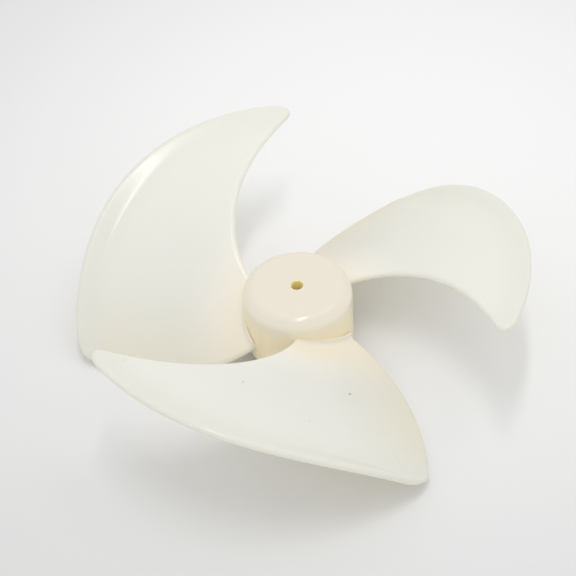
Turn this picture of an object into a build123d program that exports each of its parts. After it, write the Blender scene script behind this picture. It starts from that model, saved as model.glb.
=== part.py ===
# Axial fan impeller: a hub cup and wide forward-swept blades, moulded in one piece.
# Millimetres, +Z up. The origin is on the bore axis at the foot of the boss, where the shaft goes in.

import os
from math import atan2, cos, degrees, hypot, radians, sin

from build123d import *

os.makedirs("parts", exist_ok=True)

# ---- Hub cup ----
hub_diameter = 28.6
hub_top_height = 15.2
hub_foot_height = -3.5
hub_wall = 1.8
hub_crown = 2.4
hub_edge_radius = 3.6

# ---- Boss, bore and ribs inside the cup ----
bore_diameter = 3.1
boss_diameter = 8.0
rib_count = 6
rib_thickness = 1.2
rib_depth = 5.0

# ---- Blades ----
fan_diameter = 120.0
blade_count = 3
blade_start_angle = 86.0
blade_thickness = 2.0
edge_radius = 0.8
root_fillet = 1.5
tip_width = 2.2
trailing_corner_radius = 7.0

# Plan outline of a blade, in degrees round the axis from its tip. With a bow of 1 an edge turns
# evenly from the hub to the rim, and with more of it the edge turns more near the hub.
leading_root_angle = 56.7
leading_bow = 1.15
trailing_root_angle = 127.7
trailing_rim_angle = 93.4
trailing_bow = 1.06

# A blade is a plate bent in one direction only. Its section runs along plate_direction, and the
# whole plate leans by plate_lean across it. Heights are those of its mid-plane, on the section.
plate_direction = 147.2
plate_lean = -11.4
plate_reach = 60.0
plate_height_ahead = 20.9
plate_height_mid_ahead = 14.4
plate_height_centre = 5.8
plate_height_mid_behind = -11.1
plate_height_behind = -42.9

# The lip along the rim is part of a second plate, which rises out of the first at a crease.
lip_direction = 25.9
lip_lean = -3.7
lip_inner_reach = 15.0
lip_outer_reach = 70.0
lip_inner_height = -12.7
lip_middle_height = 15.7
lip_outer_height = 27.4
crease_radius = 4.0

hub_radius = hub_diameter / 2
fan_radius = fan_diameter / 2
root_overlap = hub_wall / 2
root_radius = hub_radius - root_overlap


def on_plan(radius, angle):
    return (radius * cos(radians(angle)), radius * sin(radians(angle)))


# ---- Plan outline of one blade, from inside the hub's wall to the rim ----
outline_steps = 5


def edge_curve(root_angle, rim_angle, bow, outer_radius):
    """Points of a blade's leading or trailing edge, from the hub outwards."""
    points = []
    for step in range(outline_steps + 1):
        radius = root_radius + (outer_radius - root_radius) * step / outline_steps
        inward = (fan_radius - radius) / (fan_radius - hub_radius)
        points.append(on_plan(radius, rim_angle + (root_angle - rim_angle) * inward**bow))
    return points


with BuildSketch(Plane.XY.offset(-fan_radius)) as blade_plan:
    with BuildLine():
        leading_edge = Spline(*edge_curve(leading_root_angle, 0, leading_bow, fan_radius - tip_width))
        tip_angle = degrees(atan2((leading_edge @ 1).Y, (leading_edge @ 1).X))
        tip_end = Line(leading_edge @ 1, on_plan(fan_radius, tip_angle))
        trailing_edge = Spline(*edge_curve(trailing_root_angle, trailing_rim_angle, trailing_bow, fan_radius))
        rim_middle = (tip_angle + trailing_rim_angle) / 2
        ThreePointArc(tip_end @ 1, on_plan(fan_radius, rim_middle), trailing_edge @ 1)
        root_middle = (leading_root_angle + trailing_root_angle) / 2
        ThreePointArc(leading_edge @ 0, on_plan(root_radius, root_middle), trailing_edge @ 0)
    make_face()
    trailing_corner = blade_plan.vertices().sort_by_distance(trailing_edge @ 1)[0]
    fillet(trailing_corner, trailing_corner_radius)

# ---- All that lies under a bent plate's upper or lower skin ----
skin_steps = 8
plate_depth = fan_diameter


def section_plane(direction, lean):
    """Plane of a plate's section: X level along the bend, Y up, and leaning with the plate."""
    along = Vector(*on_plan(1, direction))
    across = Vector(*on_plan(cos(radians(lean)), direction + 90), sin(radians(lean)))
    return Plane(origin=(0, 0, 0), x_dir=along, z_dir=-across)


def under_skin(direction, lean, section, lift):
    """Solid under a skin that lies lift above the mid-plane of a plate."""
    with BuildPart() as below:
        with BuildSketch(section_plane(direction, lean)):
            with BuildLine():
                middle = Spline(*[(at, height * cos(radians(lean))) for at, height in section], mode=Mode.PRIVATE)
                steps = [step / skin_steps for step in range(skin_steps + 1)]
                skin = Spline(*[middle @ t + Vector(-(middle % t).Y, (middle % t).X) * lift for t in steps])
                Polyline(skin @ 1, ((skin @ 1).X, -plate_depth), ((skin @ 0).X, -plate_depth), skin @ 0)
            make_face()
        extrude(amount=fan_diameter, both=True)
    return below.part


plate_section = [
    (-plate_reach, plate_height_ahead),
    (-plate_reach / 2, plate_height_mid_ahead),
    (0, plate_height_centre),
    (plate_reach / 2, plate_height_mid_behind),
    (plate_reach, plate_height_behind),
]
lip_section = [
    (lip_inner_reach, lip_inner_height),
    ((lip_inner_reach + lip_outer_reach) / 2, lip_middle_height),
    (lip_outer_reach, lip_outer_height),
]
half_thickness = blade_thickness / 2


def over_leading_edge(edge):
    """True for an edge of the blade that lies over the leading edge of the outline."""
    middle = edge @ 0.5
    return leading_edge.distance_to(Vector(middle.X, middle.Y)) < edge_radius / 10


def within_outline(edge):
    """True for an edge of the blade that crosses a skin, as a crease does."""
    level_middle = Vector((edge @ 0.5).X, (edge @ 0.5).Y, (outline_wire @ 0).Z)
    return outline_wire.distance_to(level_middle) > edge_radius


# ---- Blade: both plates within the outline, cleared from below, creased and rounded ----
outline_wire = blade_plan.wire()
with BuildPart() as blade:
    add(under_skin(plate_direction, plate_lean, plate_section, half_thickness))
    add(under_skin(lip_direction, lip_lean, lip_section, half_thickness))
    extrude(blade_plan.sketch, amount=fan_diameter, mode=Mode.INTERSECT)
    add(under_skin(plate_direction, plate_lean, plate_section, -half_thickness), mode=Mode.SUBTRACT)
    add(under_skin(lip_direction, lip_lean, lip_section, -half_thickness), mode=Mode.SUBTRACT)
    lower_crease, upper_crease = blade.edges().filter_by(within_outline).sort_by(Axis.Z)
    fillet(upper_crease, crease_radius)
    fillet(lower_crease, crease_radius + blade_thickness)
    leading_edges = blade.edges().filter_by(Axis.Z, reverse=True).filter_by(over_leading_edge)
    fillet(leading_edges, edge_radius)

# ---- Impeller: cup, boss, ribs, blades and bore as one solid ----
hub_inner_radius = hub_radius - hub_wall
boss_radius = boss_diameter / 2
crown_underside = hub_top_height - hub_crown


def on_hub_wall(edge):
    return all(abs(hypot((edge @ at).X, (edge @ at).Y) - hub_radius) < 0.01 for at in (0, 0.25, 0.5, 0.75, 1))


with BuildPart() as impeller:
    with BuildSketch(Plane.XZ) as hub_section:
        with BuildLine():
            Polyline(
                (0, hub_top_height),
                (hub_radius, hub_top_height),
                (hub_radius, hub_foot_height),
                (hub_inner_radius, hub_foot_height),
                (hub_inner_radius, crown_underside),
                (boss_radius, crown_underside),
                (boss_radius, 0),
                (0, 0),
                close=True,
            )
        make_face()
        shoulder = hub_section.vertices().sort_by_distance((hub_radius, hub_top_height))[0]
        fillet(shoulder, hub_edge_radius)
        inner_shoulder = hub_section.vertices().sort_by_distance((hub_inner_radius, crown_underside))[0]
        fillet(inner_shoulder, hub_edge_radius - hub_wall)
    revolve(axis=Axis.Z)

    with BuildSketch(Plane.XY.offset(crown_underside - rib_depth)):
        with PolarLocations((boss_radius + hub_inner_radius) / 2, rib_count):
            Rectangle(hub_inner_radius - boss_radius + hub_wall, rib_thickness)
    extrude(amount=rib_depth + hub_crown / 4)

    with PolarLocations(0, blade_count, start_angle=blade_start_angle):
        add(blade.part)
    blade_roots = impeller.edges().filter_by(GeomType.CIRCLE, reverse=True).filter_by(on_hub_wall)
    fillet(blade_roots.filter_by(GeomType.LINE, reverse=True), root_fillet)

    with Locations((0, 0, hub_top_height)):
        Hole(bore_diameter / 2)

impeller.part.label = "impeller"
export_step(impeller.part, "parts/impeller.step")
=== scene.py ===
from math import cos, pi, radians, sin, tau

import bmesh
import bpy
from mathutils import Matrix, Vector


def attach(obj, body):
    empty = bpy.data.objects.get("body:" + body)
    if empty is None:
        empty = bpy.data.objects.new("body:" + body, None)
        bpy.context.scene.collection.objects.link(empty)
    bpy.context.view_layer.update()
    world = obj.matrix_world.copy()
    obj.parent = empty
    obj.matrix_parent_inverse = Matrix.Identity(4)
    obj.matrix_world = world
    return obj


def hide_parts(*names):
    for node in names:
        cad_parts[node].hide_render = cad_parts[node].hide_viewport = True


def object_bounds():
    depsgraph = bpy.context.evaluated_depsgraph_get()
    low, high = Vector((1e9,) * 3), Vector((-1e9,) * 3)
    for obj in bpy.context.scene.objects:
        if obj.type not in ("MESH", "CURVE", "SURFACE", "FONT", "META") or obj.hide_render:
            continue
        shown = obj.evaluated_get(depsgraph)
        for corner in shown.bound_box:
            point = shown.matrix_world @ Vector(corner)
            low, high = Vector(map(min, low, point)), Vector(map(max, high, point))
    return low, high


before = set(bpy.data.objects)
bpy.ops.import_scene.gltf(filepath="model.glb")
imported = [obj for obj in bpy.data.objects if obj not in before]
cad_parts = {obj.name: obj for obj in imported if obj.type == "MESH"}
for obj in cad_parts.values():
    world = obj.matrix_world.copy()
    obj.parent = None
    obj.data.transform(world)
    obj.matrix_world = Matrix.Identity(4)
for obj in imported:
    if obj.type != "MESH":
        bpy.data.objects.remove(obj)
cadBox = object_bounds()
mm = 0.001


class Sock:
    # an output socket: sums, products and powers of it add Math nodes to its tree
    def __init__(self, net, socket):
        self.net = net
        self.socket = socket

    def maths(self, operation, *values):
        return self.net.add("ShaderNodeMath", {"operation": operation}, dict(enumerate(values)))

    def __add__(self, other):
        return self.maths("ADD", self, other)

    def __radd__(self, other):
        return self.maths("ADD", other, self)

    def __sub__(self, other):
        return self.maths("SUBTRACT", self, other)

    def __rsub__(self, other):
        return self.maths("SUBTRACT", other, self)

    def __mul__(self, other):
        return self.maths("MULTIPLY", self, other)

    def __rmul__(self, other):
        return self.maths("MULTIPLY", other, self)

    def __truediv__(self, other):
        return self.maths("DIVIDE", self, other)

    def __rtruediv__(self, other):
        return self.maths("DIVIDE", other, self)

    def __pow__(self, other):
        return self.maths("POWER", self, other)

    def __neg__(self):
        return self.maths("MULTIPLY", self, -1.0)

    def sin(self):
        return self.maths("SINE", self)

    def cos(self):
        return self.maths("COSINE", self)

    def root(self):
        return self.maths("SQRT", self)

    def least(self, other):
        return self.maths("MINIMUM", self, other)

    def most(self, other):
        return self.maths("MAXIMUM", self, other)

    def share(self):
        # held between 0 and 1
        return self.least(1.0).most(0.0)

    def between(self, low, high):
        # 0 at low, 1 at high, eased in and out
        values = {"Value": self, "From Min": low, "From Max": high}
        return self.net.add("ShaderNodeMapRange", {"interpolation_type": "SMOOTHSTEP"}, values)

    def twin(self, name):
        # another output of the same node
        return Sock(self.net, self.socket.node.outputs[name])


class Net:
    # a node tree, and the one way that a node gets into it
    def __init__(self, tree):
        self.tree = tree

    def feed(self, node, values):
        for name, value in values.items():
            if isinstance(value, Sock):
                self.tree.links.new(value.socket, node.inputs[name])
            else:
                node.inputs[name].default_value = value

    def add(self, kind, settings=None, values=None, out=0):
        node = self.tree.nodes.new(kind)
        for name, value in (settings or {}).items():
            setattr(node, name, value)
        self.feed(node, values or {})
        return Sock(self, node.outputs[out])

    def painted(self, under, mask, over):
        # one colour over another, where the mask is 1
        return self.add("ShaderNodeMix", {"data_type": "RGBA"}, {0: mask, 6: under, 7: over}, out=2)


def srgb(red, green, blue):
    def linear(value):
        value /= 255
        return value / 12.92 if value <= 0.04045 else ((value + 0.055) / 1.055) ** 2.4
    return (linear(red), linear(green), linear(blue), 1.0)


def treeWith(name, sizes):
    # a new tree with a named input for each size and one for the material
    tree = bpy.data.node_groups.new(name, "GeometryNodeTree")
    for label, value in sizes.items():
        kind = "NodeSocketInt" if isinstance(value, int) else "NodeSocketFloat"
        tree.interface.new_socket(name=label, in_out="INPUT", socket_type=kind)
    tree.interface.new_socket(name="Material", in_out="INPUT", socket_type="NodeSocketMaterial")
    tree.interface.new_socket(name="Geometry", in_out="OUTPUT", socket_type="NodeSocketGeometry")
    net = Net(tree)
    group = tree.nodes.new("NodeGroupInput")
    return net, {label: Sock(net, group.outputs[label]) for label in [*sizes, "Material"]}


def ringOfCopies(net, piece, count, startAngle, material):
    # copies stand evenly round the axis, come down from mm to metres and get their material
    spots = net.add("GeometryNodeMeshLine", {}, {"Count": count, "Offset": (0, 0, 0)})
    place = net.add("GeometryNodeInputIndex")
    turned = (startAngle + place * 360.0 / count) * (pi / 180)
    turn = net.add("ShaderNodeCombineXYZ", {}, {2: turned})
    copies = net.add("GeometryNodeInstanceOnPoints", {},
                     {"Points": spots, "Instance": piece, "Rotation": turn})
    small = net.add("GeometryNodeScaleInstances", {},
                    {"Instances": copies, "Scale": (mm, mm, mm), "Center": (0, 0, 0), "Local Space": False})
    real = net.add("GeometryNodeRealizeInstances", {}, {"Geometry": small})
    smooth = net.add("GeometryNodeSetShadeSmooth", {}, {"Geometry": real, "Shade Smooth": True})
    done = net.add("GeometryNodeSetMaterial", {}, {"Geometry": smooth, "Material": material})
    net.feed(net.tree.nodes.new("NodeGroupOutput"), {0: done})


def grown(name, tree, sizes, material):
    # runs a tree once on an empty object and keeps the plain mesh that it makes
    seed = bpy.data.objects.new(name + "Seed", bpy.data.meshes.new(name + "Seed"))
    bpy.context.collection.objects.link(seed)
    modifier = seed.modifiers.new("grow", "NODES")
    modifier.node_group = tree
    for item in tree.interface.items_tree:
        if item.in_out == "INPUT":
            modifier[item.identifier] = material if item.name == "Material" else sizes[item.name]
    seen = seed.evaluated_get(bpy.context.evaluated_depsgraph_get())
    mesh = bpy.data.meshes.new_from_object(seen)
    seed.modifiers.remove(modifier)
    bpy.data.objects.remove(seed)
    mesh.name = name
    return mesh


# the turned cup with its boss: radii and heights in mm
hub = {
    "radius": 14.3,
    "top": 15.2,
    "foot": -3.5,
    "wall": 1.8,
    "crown": 2.4,
    "shoulder": 3.6,
    "bore": 1.55,
    "boss": 4.0,
    "edge": 0.35,
    # distance of the rows that keep crown and wall flat beside their roundings
    "hold": 0.2,
    "steps": 128,
}


def arcOf(centre, radius, start, end, steps=8):
    angles = [radians(start + (end - start) * i / steps) for i in range(steps + 1)]
    return [(centre[0] + radius * cos(a), centre[1] + radius * sin(a)) for a in angles]


def hubProfile():
    # radius and height, from the mouth of the bore over the crown, round the wall and back up the boss
    edge = hub["edge"]
    hold = hub["hold"]
    ceiling = hub["top"] - hub["crown"]
    inner = hub["radius"] - hub["wall"]
    shoulder = hub["shoulder"]
    hollow = shoulder - hub["wall"]
    line = arcOf((hub["bore"] + edge, hub["top"] - edge), edge, 180, 90, 4)
    line += [(hub["bore"] + edge + hold, hub["top"]), (hub["radius"] - shoulder - hold, hub["top"])]
    line += arcOf((hub["radius"] - shoulder, hub["top"] - shoulder), shoulder, 90, 0, 16)
    line += [(hub["radius"], hub["top"] - shoulder - hold), (hub["radius"], hub["foot"] + edge + hold)]
    line += arcOf((hub["radius"] - edge, hub["foot"] + edge), edge, 0, -90, 4)
    line += arcOf((inner + edge, hub["foot"] + edge), edge, -90, -180, 4)
    line += arcOf((inner - hollow, ceiling - hollow), hollow, 0, 90)
    line += [(hub["boss"], ceiling)]
    line += arcOf((hub["boss"] - edge, edge), edge, 0, -90, 4)
    line += arcOf((hub["bore"] + edge, edge), edge, -90, -180, 4)
    return line


def turnedMesh(name, profile, steps, material):
    count = len(profile)
    turns = [tau * i / steps for i in range(steps)]
    verts = [(r * mm * cos(turn), r * mm * sin(turn), z * mm) for turn in turns for r, z in profile]
    faces = []
    for i in range(steps):
        here = i * count
        there = (i + 1) % steps * count
        for j in range(count):
            k = (j + 1) % count
            faces.append((here + j, here + k, there + k, there + j))
    mesh = bpy.data.meshes.new(name)
    mesh.from_pydata(verts, [], faces)
    mesh.shade_smooth()
    mesh.materials.append(material)
    return mesh


# the ribs reach a little into the boss, the wall and the crown
ribs = {
    "Rib Count": 6,
    "Start Angle": 0.0,
    "Thickness": 1.2,
    "Depth": 5.0,
    "Inner Reach": 3.6,
    "Outer Reach": 12.9,
    "Top": 13.0,
}


def ribTree():
    net, size = treeWith("cupRibs", ribs)
    length = size["Outer Reach"] - size["Inner Reach"]
    block = net.add("ShaderNodeCombineXYZ", {}, {0: length, 1: size["Thickness"], 2: size["Depth"]})
    cube = net.add("GeometryNodeMeshCube", {}, {"Size": block})
    middle = (size["Outer Reach"] + size["Inner Reach"]) * 0.5
    shift = net.add("ShaderNodeCombineXYZ", {}, {0: middle, 2: size["Top"] - size["Depth"] * 0.5})
    rib = net.add("GeometryNodeTransform", {}, {"Geometry": cube, "Translation": shift})
    ringOfCopies(net, rib, size["Rib Count"], size["Start Angle"], size["Material"])
    return net.tree


# lengths in mm, angles in degrees round the axis from a blade's tip
blades = {
    "Blade Count": 3,
    "Start Angle": 86.0,
    "Fan Radius": 59.9,
    "Hub Radius": hub["radius"],
    "Root Radius": 13.4,
    "Thickness": 2.0,
    "Edge Round": 1.1,
    # the edges run aslant, so this share of the arc is about the distance to them
    "Edge Lean": 0.77,
    "Root Fillet": 1.5,
    "Leading Root Angle": 56.7,
    "Leading Bow": 1.15,
    "Trailing Root Angle": 127.7,
    "Trailing Rim Angle": 93.4,
    "Trailing Bow": 1.06,
    "Tip Round Length": 8.0,
    "Tip Round Depth": 4.6,
    "Corner Round Length": 7.0,
    "Corner Round Depth": 3.0,
    # main plate: mid height = centre + slope u + bend u^2 + curl u^3 + lean v, u along its direction
    "Plate Direction": 147.2,
    "Plate Centre": 5.84,
    "Plate Slope": -0.3898,
    "Plate Bend": -0.004676,
    "Plate Curl": -0.0000396,
    "Plate Lean": -0.2009,
    # the second plate, which rises out of the first as the lip
    "Lip Direction": 25.9,
    "Lip Centre": -35.35,
    "Lip Slope": 1.678,
    "Lip Bend": -0.01117,
    "Lip Lean": -0.065,
    "Crease Softness": 0.35,
    # rows of the grid, how far they crowd to its edges, and what closes the two skins
    "Chord Rows": 72,
    "Span Rows": 80,
    "Chord Crowding": 0.82,
    "Span Crowding": 0.86,
    "Weld Distance": 0.002,
}


def bladeTree():
    net, size = treeWith("wheelBlades", blades)

    # a unit grid: X runs from the leading to the trailing edge, Y from the hub to the rim
    grid = net.add("GeometryNodeMeshGrid", {}, {"Size X": 1.0, "Size Y": 1.0,
                                                "Vertices X": size["Chord Rows"],
                                                "Vertices Y": size["Span Rows"]})
    where = net.add("ShaderNodeSeparateXYZ", {}, {0: net.add("GeometryNodeInputPosition")})
    across = where + 0.5
    along = where.twin("Y") + 0.5
    chord = across - (across * tau).sin() * (size["Chord Crowding"] / tau)
    span = along - (along * tau).sin() * (size["Span Crowding"] / tau)

    # the rim gives way at the tip and at the trailing corner
    rimLength = size["Fan Radius"] * size["Trailing Rim Angle"] * (pi / 180)
    tipShare = (1.0 - chord * rimLength / size["Tip Round Length"]).share()
    cornerShare = (1.0 - (1.0 - chord) * rimLength / size["Corner Round Length"]).share()
    tipCut = size["Tip Round Depth"] * (1.0 - (1.0 - tipShare * tipShare).root())
    cornerCut = size["Corner Round Depth"] * (1.0 - (1.0 - cornerShare * cornerShare).root())
    rim = size["Fan Radius"] - tipCut - cornerCut

    # radius and angle of each point, between a leading and a trailing edge that both sweep
    radius = size["Root Radius"] + (rim - size["Root Radius"]) * span
    inward = (size["Fan Radius"] - radius) / (size["Fan Radius"] - size["Hub Radius"])
    leading = size["Leading Root Angle"] * inward ** size["Leading Bow"]
    trailingTurn = size["Trailing Root Angle"] - size["Trailing Rim Angle"]
    trailing = size["Trailing Rim Angle"] + trailingTurn * inward ** size["Trailing Bow"]
    turn = (leading + chord * (trailing - leading)) * (pi / 180)

    def onPlate(name):
        ahead = turn - size[name + " Direction"] * (pi / 180)
        u = radius * ahead.cos()
        v = radius * ahead.sin()
        height = size[name + " Centre"] + u * (size[name + " Slope"] + u * size[name + " Bend"])
        return height + v * size[name + " Lean"], u

    # the higher of the two plates, with the crease between them eased
    plate, reach = onPlate("Plate")
    plate = plate + reach * reach * reach * size["Plate Curl"]
    lip, lipReach = onPlate("Lip")
    gap = plate - lip
    softness = size["Crease Softness"]
    height = (plate + lip + (gap * gap + softness * softness).root()) * 0.5
    middle = net.add("ShaderNodeCombineXYZ", {}, {0: radius * turn.cos(), 1: radius * turn.sin(), 2: height})

    # half thickness: full inside, rounded off at the free edges, flared where it meets the hub
    arc = radius * (trailing - leading) * (pi / 180)
    lean = size["Edge Lean"]

    def rounded(distance):
        left = 1.0 - (distance / size["Edge Round"]).share()
        return (1.0 - left * left).root()

    nearHub = (1.0 - (radius - size["Hub Radius"]) / size["Root Fillet"]).share()
    flare = size["Root Fillet"] * (1.0 - (1.0 - nearHub * nearHub).root())
    fromEdges = rounded(chord * arc * lean) * rounded((1.0 - chord) * arc * lean)
    # inside the hub's wall the sheet closes in half the length
    fromEnds = rounded(rim - radius) * rounded((radius - size["Root Radius"]) * 2.0)
    half = (size["Thickness"] * 0.5 + flare) * fromEdges * fromEnds

    # the sheet keeps its half thickness, is bent, and is doubled into an upper and a lower skin
    marked = net.add("GeometryNodeStoreNamedAttribute", {"data_type": "FLOAT", "domain": "POINT"},
                     {"Geometry": grid, "Name": "halfThickness", "Value": half})
    sheet = net.add("GeometryNodeSetPosition", {}, {"Geometry": marked, "Position": middle})
    offset = net.add("GeometryNodeInputNamedAttribute", {"data_type": "FLOAT"}, {"Name": "halfThickness"})
    normal = net.add("GeometryNodeInputNormal")
    down = net.add("ShaderNodeVectorMath", {"operation": "SCALE"}, {"Vector": normal, "Scale": offset})
    up = net.add("ShaderNodeVectorMath", {"operation": "SCALE"}, {"Vector": normal, "Scale": -offset})
    lower = net.add("GeometryNodeSetPosition", {}, {"Geometry": sheet, "Offset": down})
    upper = net.add("GeometryNodeSetPosition", {}, {"Geometry": sheet, "Offset": up})
    upper = net.add("GeometryNodeFlipFaces", {}, {"Mesh": upper})
    both = net.add("GeometryNodeJoinGeometry")
    for skin in (lower, upper):
        net.feed(both.socket.node, {0: skin})
    blade = net.add("GeometryNodeMergeByDistance", {}, {"Geometry": both, "Distance": size["Weld Distance"]})
    ringOfCopies(net, blade, size["Blade Count"], size["Start Angle"], size["Material"])
    return net.tree


creamFinish = {
    "blade": srgb(241, 246, 252),
    # the hub's warm tone is partly painted light: it is lighter than the crown's, so that the shaded blade
    # roots come up
    "hub": srgb(245, 238, 221),
    # the wall's own tan, painted lighter as painted light coming through the plastic onto its shaded side
    "wall": srgb(255, 241, 202),
    # painted shade: the crown gets more light than the blade roots, so it takes this darker copy of the
    # hub's tone
    "crown": srgb(233, 226, 211),
    # painted shade: a darker tone towards the rim and over the lip
    "rim": srgb(236, 240, 245),
    # painted light: a bright yellow in the bore, standing in for light that comes through the hub and
    # bounces inside it
    "bore": srgb(253, 240, 172),
    "speck": srgb(120, 88, 60),
    # where each tone fades out or in, in mm from the axis or in height
    "hubFade": (13.0, 34.0),
    "lowFade": (-9.0, 9.0),
    "lowShare": 0.6,
    "wallLightFade": (14.25, 14.5),
    "wallLightTopFade": (7.0, 14.5),
    "crownShadeFade": (13.0, 15.0),
    "crownShadeHeightFade": (12.5, 15.0),
    "rimShadeFade": (49.0, 58.0),
    "boreLightFade": (1.6, 1.9),
    # brown specks in the moulding: place across and along, and size, in mm
    "specks": [
        (11.5, -30.3, 0.42),
        (-43.3, -31.2, 0.24),
        (-14.7, -34.7, 0.26),
        (1.0, -44.7, 0.18),
        (21.8, -47.8, 0.18),
    ],
    # scales of the noises, which run over metres
    "driftScale": 35.0,
    "driftSpread": 0.8,
    "driftLeast": 0.6,
    "cloudScale": 120.0,
    "roughness": 0.17,
    "roughnessSpread": 0.08,
    "grainScale": 900.0,
    "grainStrength": 0.05,
    "grainDepth": 0.0002,
    # the colour that light takes on in the plastic, and how much of it goes through
    "glow": (1.0, 0.955, 0.8, 1.0),
    "thinShare": 0.5,
    "solidShare": 0.08,
}


def plastic(name, tones):
    material = bpy.data.materials.new(name)
    material.use_nodes = True
    nodes = material.node_tree.nodes
    net = Net(material.node_tree)
    spot = net.add("ShaderNodeTexCoord", out="Object")
    x = net.add("ShaderNodeSeparateXYZ", {}, {0: spot})
    y = x.twin("Y")
    height = x.twin("Z") / mm
    fromAxis = (x * x + y * y).root() / mm

    # warm at the thick hub and low down, paler and cooler out on the thin blades
    thick = 1.0 - fromAxis.between(*tones["hubFade"])
    low = 1.0 - height.between(*tones["lowFade"])
    drift = net.add("ShaderNodeTexNoise", {}, {"Vector": spot, "Scale": tones["driftScale"], "Detail": 3.0})
    drift = drift * tones["driftSpread"] + tones["driftLeast"]
    warm = ((thick + low * tones["lowShare"]) * drift).share()
    # the hub's tone is partly painted light on the shaded blade roots
    colour = net.painted(tones["blade"], warm, tones["hub"])

    for east, north, size in tones["specks"]:
        aside = x / mm - east
        ahead = y / mm - north
        mark = 1.0 - (aside * aside + ahead * ahead).root().between(size * 0.5, size)
        colour = net.painted(colour, mark, tones["speck"])

    # the hub's wall low down: its own tan, painted lighter to stand in for light coming through the plastic
    # onto its shaded side
    wall = (1.0 - height.between(*tones["wallLightTopFade"])) * (1.0 - fromAxis.between(*tones["wallLightFade"]))
    # painted shade on the crown: a darker copy of the hub's tone
    crown = height.between(*tones["crownShadeHeightFade"]) * (1.0 - fromAxis.between(*tones["crownShadeFade"]))
    colour = net.painted(colour, wall, tones["wall"])
    colour = net.painted(colour, crown, tones["crown"])
    # painted shade towards the rim and over the lip
    colour = net.painted(colour, fromAxis.between(*tones["rimShadeFade"]), tones["rim"])
    # painted light in the bore: a bright yellow that stands in for light coming through the hub and bouncing
    # inside it
    colour = net.painted(colour, 1.0 - fromAxis.between(*tones["boreLightFade"]), tones["bore"])

    cloud = net.add("ShaderNodeTexNoise", {}, {"Vector": spot, "Scale": tones["cloudScale"], "Detail": 2.0})
    roughness = (cloud - 0.5) * tones["roughnessSpread"] + tones["roughness"]
    grain = net.add("ShaderNodeTexNoise", {}, {"Vector": spot, "Scale": tones["grainScale"], "Detail": 2.0})
    bump = net.add("ShaderNodeBump", {}, {"Height": grain, "Strength": tones["grainStrength"],
                                          "Distance": tones["grainDepth"]})
    shader = nodes["Principled BSDF"]
    net.feed(shader, {"Base Color": colour, "Roughness": roughness, "Normal": bump})

    # light shines through the thin blades and hardly through the hub
    glow = net.add("ShaderNodeBsdfTranslucent", {}, {"Color": tones["glow"]})
    through = tones["thinShare"] + thick * (tones["solidShare"] - tones["thinShare"])
    blend = net.add("ShaderNodeMixShader", {}, {0: through, 1: Sock(net, shader.outputs[0]), 2: glow})
    net.feed(nodes["Material Output"], {"Surface": blend})
    return material


# place in mm, angles in degrees, and the frame in its own pixels
view = {
    "place": (-0.3, -341.6, 361.3),
    "elevation": 45.268,
    "roll": 3.707,
    "focalPixels": 1878.19,
    "framePixels": 576,
    "axisPixel": (295.546, 281.462),
    "clip": (0.01, 20),
}


def addCamera():
    data = bpy.data.cameras.new("camera")
    camera = bpy.data.objects.new("camera", data)
    bpy.context.collection.objects.link(camera)
    tilt = radians(view["elevation"])
    ahead = Vector((0, cos(tilt), -sin(tilt)))
    right = Vector((1, 0, 0))
    up = right.cross(ahead)
    roll = radians(view["roll"])
    across = right * cos(roll) - up * sin(roll)
    above = up * cos(roll) + right * sin(roll)
    turn = Matrix((across, above, -ahead)).transposed().to_4x4()
    camera.matrix_world = Matrix.Translation(Vector(view["place"]) * mm) @ turn
    pixels = view["framePixels"]
    data.sensor_width = 36
    data.lens = view["focalPixels"] / pixels * data.sensor_width
    data.shift_x = (pixels / 2 - view["axisPixel"][0]) / pixels
    data.shift_y = (view["axisPixel"][1] - pixels / 2) / pixels
    data.clip_start, data.clip_end = view["clip"]
    bpy.context.scene.camera = camera


# a sheet of pale paper with a painted pool of light on it, brightest behind the wheel and darker away from
# there; places and fades in mm, half width in metres
floorPaper = {
    "colour": srgb(236, 236, 236),
    "beyondLightPoolColour": srgb(202, 202, 202),
    "lightPoolPlace": (30.0, 70.0),
    "fade": (20.0, 260.0),
    "roughness": 0.75,
    "specular": 0.2,
    "halfWidth": 3.0,
}


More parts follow.
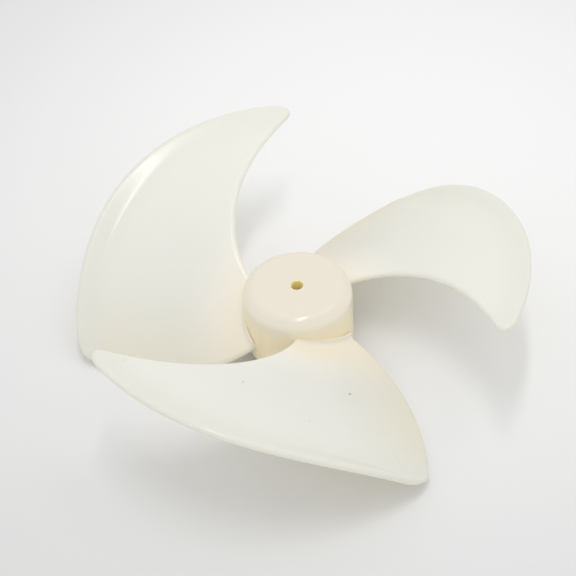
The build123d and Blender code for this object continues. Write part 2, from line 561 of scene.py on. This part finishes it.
def addFloor():
    low = cadBox[0][2]
    wide = floorPaper["halfWidth"]
    corners = [(-wide, -wide, low), (wide, -wide, low), (wide, wide, low), (-wide, wide, low)]
    mesh = bpy.data.meshes.new("floor")
    mesh.from_pydata(corners, [], [(0, 1, 2, 3)])
    floor = bpy.data.objects.new("floor", mesh)
    bpy.context.collection.objects.link(floor)
    material = bpy.data.materials.new("floorPaper")
    material.use_nodes = True
    net = Net(material.node_tree)
    x = net.add("ShaderNodeSeparateXYZ", {}, {0: net.add("ShaderNodeTexCoord", out="Object")})
    east = x / mm - floorPaper["lightPoolPlace"][0]
    north = x.twin("Y") / mm - floorPaper["lightPoolPlace"][1]
    # painted pool of light: the paper's colour darkens away from the bright place
    outOfLightPool = (east * east + north * north).root().between(*floorPaper["fade"])
    colour = net.painted(floorPaper["colour"], outOfLightPool, floorPaper["beyondLightPoolColour"])
    net.feed(material.node_tree.nodes["Principled BSDF"],
             {"Base Color": colour, "Roughness": floorPaper["roughness"],
              "Specular IOR Level": floorPaper["specular"]})
    mesh.materials.append(material)


# the lamps look straight down: place, width and length in metres, turn in degrees
lamps = {
    "key": {"place": (0.40, 0.20, 0.85), "width": 0.4, "length": 0.4, "turn": 0, "watts": 0.5},
    "strip": {"place": (0.03, -0.03, 1.0), "width": 0.08, "length": 0.6, "turn": -9.5, "watts": 1.8},
}
skyStrength = 0.9


def addLamp(name, lamp):
    data = bpy.data.lights.new(name, "AREA")
    data.shape = "ELLIPSE"
    data.size = lamp["width"]
    data.size_y = lamp["length"]
    data.energy = lamp["watts"]
    piece = bpy.data.objects.new(name, data)
    piece.location = lamp["place"]
    piece.rotation_euler = (0, 0, radians(lamp["turn"]))
    bpy.context.collection.objects.link(piece)


def addWorld():
    world = bpy.context.scene.world or bpy.data.worlds.new("world")
    bpy.context.scene.world = world
    world.use_nodes = True
    sky = world.node_tree.nodes["Background"]
    sky.inputs["Color"].default_value = (1, 1, 1, 1)
    sky.inputs["Strength"].default_value = skyStrength


def joined(name, meshes, material):
    # one object of several closed meshes, with its normals outward
    whole = bmesh.new()
    for mesh in meshes:
        whole.from_mesh(mesh)
    bmesh.ops.recalc_face_normals(whole, faces=whole.faces)
    mesh = bpy.data.meshes.new(name)
    whole.to_mesh(mesh)
    whole.free()
    mesh.materials.clear()
    mesh.materials.append(material)
    piece = bpy.data.objects.new(name, mesh)
    bpy.context.collection.objects.link(piece)
    return piece


addCamera()
addFloor()
addWorld()
for name, lamp in lamps.items():
    addLamp(name, lamp)
print("camera, floor and lamps stand")

cream = plastic("creamPlastic", creamFinish)
bladeMesh = grown("blades", bladeTree(), blades, cream)
ribMesh = grown("ribs", ribTree(), ribs, cream)
hubMesh = turnedMesh("hub", hubProfile(), hub["steps"], cream)
print("blades", len(bladeMesh.polygons), "ribs", len(ribMesh.polygons), "hub", len(hubMesh.polygons))

wheel = joined("wheel", [bladeMesh, ribMesh, hubMesh], cream)
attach(wheel, "root")
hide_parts("impeller")
print("wheel joined")

bpy.context.scene.view_settings.view_transform = "Standard"
